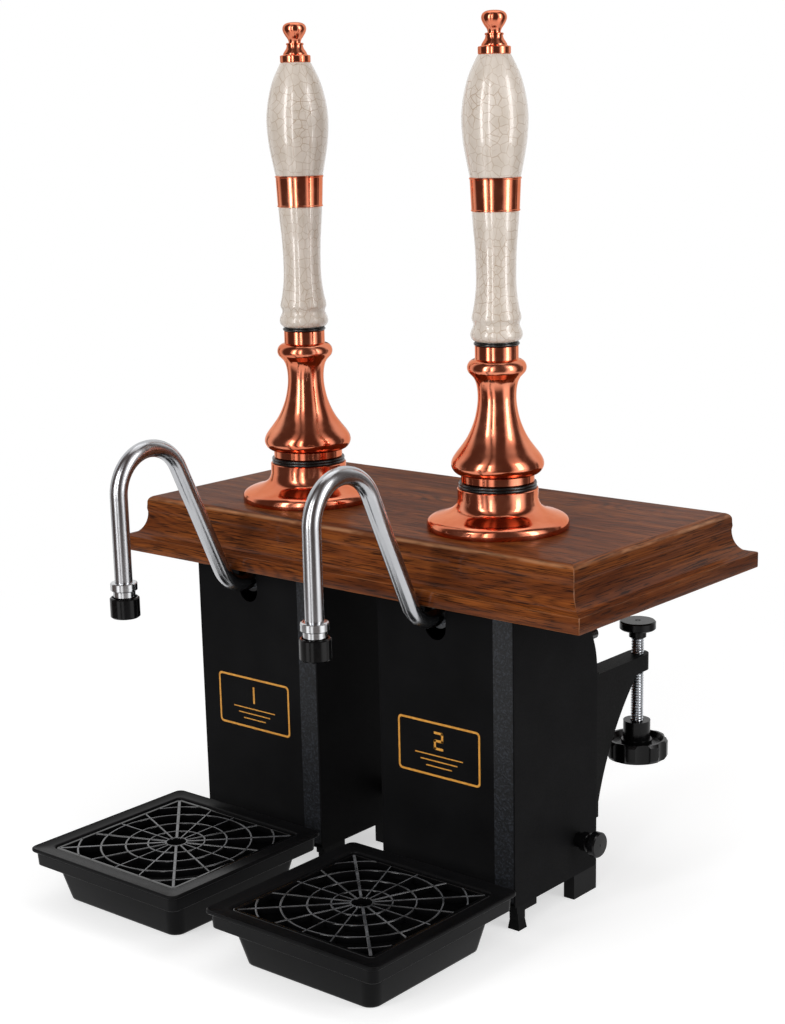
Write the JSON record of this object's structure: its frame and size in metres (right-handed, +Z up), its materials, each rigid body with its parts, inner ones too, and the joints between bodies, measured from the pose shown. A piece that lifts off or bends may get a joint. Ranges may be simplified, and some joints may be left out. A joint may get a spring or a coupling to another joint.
{
  "type": "hand pump beer engine",
  "caption": "Clamp-on hand pump beer engine: crackle-glazed china and copper pull handles on a moulded wooden plinth, black casings, swan-neck spouts, drip trays and bar clamps.",
  "frame": {"origin": "centre of the footprint, on the surface that the feet and trays stand on", "axes": "+Z up, -Y towards the spouts and drip trays, +X to the right as seen from the spout side"},
  "size_m": [0.52, 0.458, 0.7488],
  "materials": {
    "wood": "stained and oiled",
    "copper": "polished copper",
    "china": "crackle glaze, gloss",
    "stainless": "satin",
    "polished_steel": "polished",
    "steel": "zinc plated",
    "brass": "machined",
    "black_sheet": "satin powder coat",
    "black_iron": "satin black paint",
    "black_plastic": "moulded, fine grain",
    "gloss_black": "gloss",
    "rubber": "matt"
  },
  "bodies": {
    "root": {"plinth": "wood", "casing_left": "black_sheet", "casing_right": "black_sheet", "front_cover_left": "black_sheet", "front_cover_right": "black_sheet", "base_flange_left": "copper", "base_flange_right": "copper", "swan_neck_left": "stainless", "swan_neck_right": "stainless", "cylinder_left": "stainless", "cylinder_right": "stainless", "cylinder_covers": "brass", "cylinder_bases": "brass", "inlet_valves": "rubber", "tie_rods": "steel", "base_rings": "rubber", "pivot_brackets": "steel", "pivot_pins": "polished_steel", "swan_nuts": "polished_steel", "nozzle_collars": "polished_steel", "front_legs": "rubber", "rear_feet": "black_plastic", "bar_buffers": "rubber", "clamp_brackets": "black_iron"},
    "handle_left": {"finial_left": "copper", "upper_grip_left": "china", "grip_band_left": "copper", "lower_grip_left": "china", "neck_ring_left": "rubber", "column_left": "copper", "handle_lever_left": "steel"},
    "link_left": {"drop_link_left": "polished_steel"},
    "pump_rod_left": {"piston_rod_left": "polished_steel", "piston_left": "brass", "piston_seals_left": "rubber"},
    "nozzle_left": {"sparkler_left": "gloss_black"},
    "tray_left": {"drip_tray_left": "black_plastic"},
    "grille_left": {"tray_grille_left": "black_plastic"},
    "pad_left": {"clamp_pad_left": "black_plastic"},
    "screw_left": {"clamp_screw_left": "steel", "clamp_handwheel_left": "black_plastic"},
    "knob_left": {"side_knob_left": "black_plastic"},
    "handle_right": {"finial_right": "copper", "upper_grip_right": "china", "grip_band_right": "copper", "lower_grip_right": "china", "neck_ring_right": "rubber", "column_right": "copper", "handle_lever_right": "steel"},
    "link_right": {"drop_link_right": "polished_steel"},
    "pump_rod_right": {"piston_rod_right": "polished_steel", "piston_right": "brass", "piston_seals_right": "rubber"},
    "nozzle_right": {"sparkler_right": "gloss_black"},
    "tray_right": {"drip_tray_right": "black_plastic"},
    "grille_right": {"tray_grille_right": "black_plastic"},
    "pad_right": {"clamp_pad_right": "black_plastic"},
    "screw_right": {"clamp_screw_right": "steel", "clamp_handwheel_right": "black_plastic"},
    "knob_right": {"side_knob_right": "black_plastic"}
  },
  "joints": [
    {"name": "handle_pull_left", "type": "hinge", "parent": "root", "child": "handle_left", "pos_m": [-0.109, 0.05, 0.3955], "axis": [1, 0, 0], "range_deg": [0, 60]},
    {"name": "link_turn_left", "type": "hinge", "parent": "handle_left", "child": "link_left", "pos_m": [-0.109, 0.06992, 0.384], "axis": [1, 0, 0], "range_deg": [-60, 0]},
    {"name": "rod_stroke_left", "type": "slide", "parent": "root", "child": "pump_rod_left", "axis": [0, 0, 1], "range_m": [0, 0.023]},
    {"name": "sparkler_turn_left", "type": "hinge", "parent": "root", "child": "nozzle_left", "pos_m": [-0.118, -0.1734, 0.2785], "axis": [0, 0, 1], "range_deg": [-180, 180]},
    {"name": "tray_lift_left", "type": "slide", "parent": "root", "child": "tray_left", "axis": [0, 0, 1], "range_m": [0, 0.15]},
    {"name": "grille_lift_left", "type": "slide", "parent": "tray_left", "child": "grille_left", "axis": [0, 0, 1], "range_m": [0, 0.04]},
    {"name": "pad_rise_left", "type": "slide", "parent": "root", "child": "pad_left", "axis": [0, 0, 1], "range_m": [-0.0145, 0.0475]},
    {"name": "screw_turn_left", "type": "hinge", "parent": "pad_left", "child": "screw_left", "pos_m": [-0.1715, 0.173, 0.098], "axis": [0, 0, 1], "range_deg": [-2982.9, 9771.4]},
    {"name": "knob_turn_left", "type": "hinge", "parent": "root", "child": "knob_left", "pos_m": [-0.0365, 0.065, 0.055], "axis": [1, 0, 0], "range_deg": [-180, 180]},
    {"name": "handle_pull_right", "type": "hinge", "parent": "root", "child": "handle_right", "pos_m": [0.109, 0.05, 0.3955], "axis": [1, 0, 0], "range_deg": [0, 60]},
    {"name": "link_turn_right", "type": "hinge", "parent": "handle_right", "child": "link_right", "pos_m": [0.109, 0.06992, 0.384], "axis": [1, 0, 0], "range_deg": [-60, 0]},
    {"name": "rod_stroke_right", "type": "slide", "parent": "root", "child": "pump_rod_right", "axis": [0, 0, 1], "range_m": [0, 0.023]},
    {"name": "sparkler_turn_right", "type": "hinge", "parent": "root", "child": "nozzle_right", "pos_m": [0.1, -0.1734, 0.2785], "axis": [0, 0, 1], "range_deg": [-180, 180]},
    {"name": "tray_lift_right", "type": "slide", "parent": "root", "child": "tray_right", "axis": [0, 0, 1], "range_m": [0, 0.15]},
    {"name": "grille_lift_right", "type": "slide", "parent": "tray_right", "child": "grille_right", "axis": [0, 0, 1], "range_m": [0, 0.04]},
    {"name": "pad_rise_right", "type": "slide", "parent": "root", "child": "pad_right", "axis": [0, 0, 1], "range_m": [-0.0145, 0.0475]},
    {"name": "screw_turn_right", "type": "hinge", "parent": "pad_right", "child": "screw_right", "pos_m": [0.1715, 0.173, 0.098], "axis": [0, 0, 1], "range_deg": [-2982.9, 9771.4]},
    {"name": "knob_turn_right", "type": "hinge", "parent": "root", "child": "knob_right", "pos_m": [0.1815, 0.065, 0.055], "axis": [1, 0, 0], "range_deg": [-180, 180]}
  ],
  "couplings": [
    {"joint": "link_turn_left", "follows": "handle_pull_left", "ratio": -1},
    {"joint": "rod_stroke_left", "follows": "handle_pull_left", "m_per_rad": 0.021963},
    {"joint": "pad_rise_left", "follows": "screw_turn_left", "m_per_rad": 0.00027852},
    {"joint": "link_turn_right", "follows": "handle_pull_right", "ratio": -1},
    {"joint": "rod_stroke_right", "follows": "handle_pull_right", "m_per_rad": 0.021963},
    {"joint": "pad_rise_right", "follows": "screw_turn_right", "m_per_rad": 0.00027852}
  ]
}
